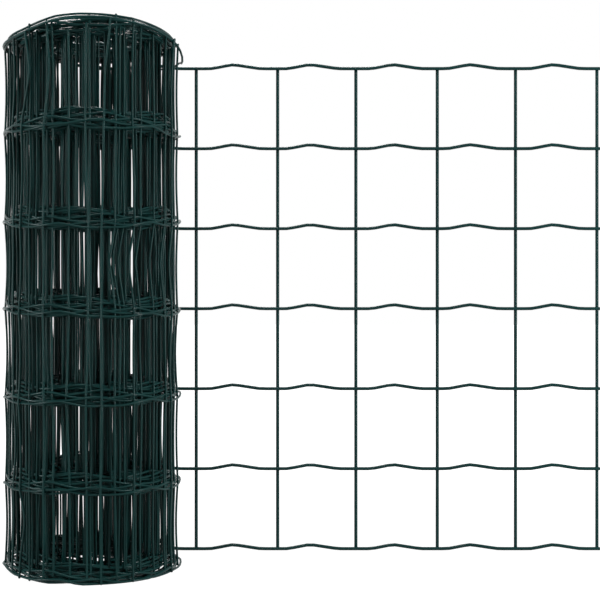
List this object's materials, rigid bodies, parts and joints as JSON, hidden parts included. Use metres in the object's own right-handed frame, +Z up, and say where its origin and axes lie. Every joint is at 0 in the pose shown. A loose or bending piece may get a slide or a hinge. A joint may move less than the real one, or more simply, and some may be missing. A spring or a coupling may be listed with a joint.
{
  "type": "roll of welded wire fencing",
  "caption": "Standing roll of green coated welded wire mesh with crimped line wires, its outer end unrolled flat to one side as garden fencing stock.",
  "frame": {"origin": "on the roll's axis at the floor, at the lower end of its bore", "axes": "+Z up along the roll's axis, +X along the unrolled end, +Y from the pictured front to the back where the unrolled end leaves the roll"},
  "size_m": [0.718, 0.2093, 0.62],
  "materials": {
    "coated_wire": "semi-gloss dark green plastic coating"
  },
  "bodies": {
    "root": {"wound_roll": "coated_wire", "unrolled_end": "coated_wire"}
  },
  "joints": []
}
